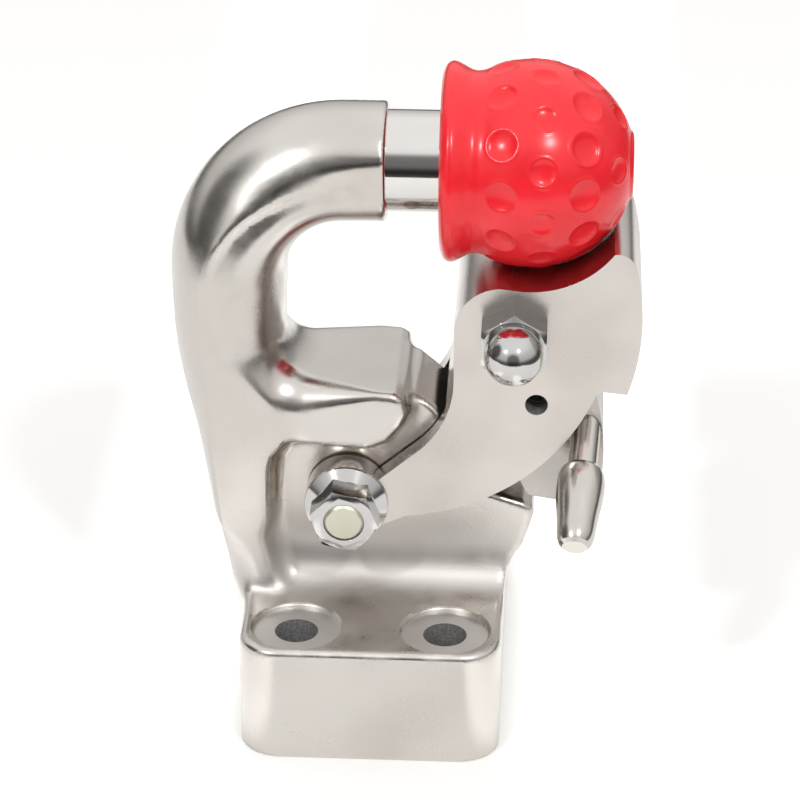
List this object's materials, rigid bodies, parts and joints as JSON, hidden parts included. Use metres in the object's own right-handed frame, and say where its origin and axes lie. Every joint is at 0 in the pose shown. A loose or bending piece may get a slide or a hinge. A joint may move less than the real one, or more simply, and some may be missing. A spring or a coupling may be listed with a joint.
{
  "type": "combination pintle hook and tow ball",
  "caption": "Stainless pintle hook with a tow ball on its horn, a swinging latch held by a spring-loaded lock lever, and a red rubber ball cap",
  "frame": {"origin": "centre of the four-bolt pattern on the mounting face, z = 0 on that face", "axes": "+X from the hook's back toward the latch, +Y along the longer side of the mounting face, +Z away from the mounting face toward the ball"},
  "size_m": [0.1394, 0.116, 0.2008],
  "materials": {
    "polished_casting": "satin to polished investment casting",
    "mirror_steel": "mirror polished",
    "brushed_latch": "brushed cheeks and polished edges",
    "lever_casting": "satin casting",
    "turned_pull": "polished turned bar",
    "nut_steel": "bright cold-formed steel",
    "bolt_steel": "satin",
    "spacer_steel": "turned",
    "bush_bronze": "plain bearing bronze",
    "spring_steel": "drawn wire",
    "red_rubber": "satin-gloss red rubber"
  },
  "bodies": {
    "hook": {"hook_body": "polished_casting", "tow_ball": "mirror_steel", "pivot_bush": "bush_bronze", "thrust_washer_front": "bush_bronze", "thrust_washer_back": "bush_bronze"},
    "latch": {"latch": "brushed_latch", "pivot_bolt": "bolt_steel", "pivot_nut": "nut_steel", "lever_bolt": "bolt_steel", "lever_cap_nut": "nut_steel", "lever_bolt_washer": "bolt_steel", "lever_spacer_front": "spacer_steel", "lever_spacer_back": "spacer_steel", "torsion_spring": "spring_steel"},
    "lever": {"lever": "lever_casting", "finger_pull_front": "turned_pull", "finger_pull_back": "turned_pull", "lever_bush": "bush_bronze"},
    "cap": {"ball_cap": "red_rubber"}
  },
  "joints": [
    {"name": "latch_swing", "type": "hinge", "parent": "hook", "child": "latch", "pos_m": [-0.0083, 0, 0.0688], "axis": [0, 1, 0], "range_deg": [0, 25]},
    {"name": "lever_swing", "type": "hinge", "parent": "latch", "child": "lever", "pos_m": [0.0411, 0, 0.126], "axis": [0, -1, 0], "range_deg": [0, 16.25]},
    {"name": "cap_turn", "type": "hinge", "parent": "hook", "child": "cap", "pos_m": [0.045, 0, 0.1704], "axis": [1, 0, 0], "continuous": true}
  ],
  "couplings": [
    {"joint": "lever_swing", "follows": "latch_swing", "ratio": 0.65}
  ]
}
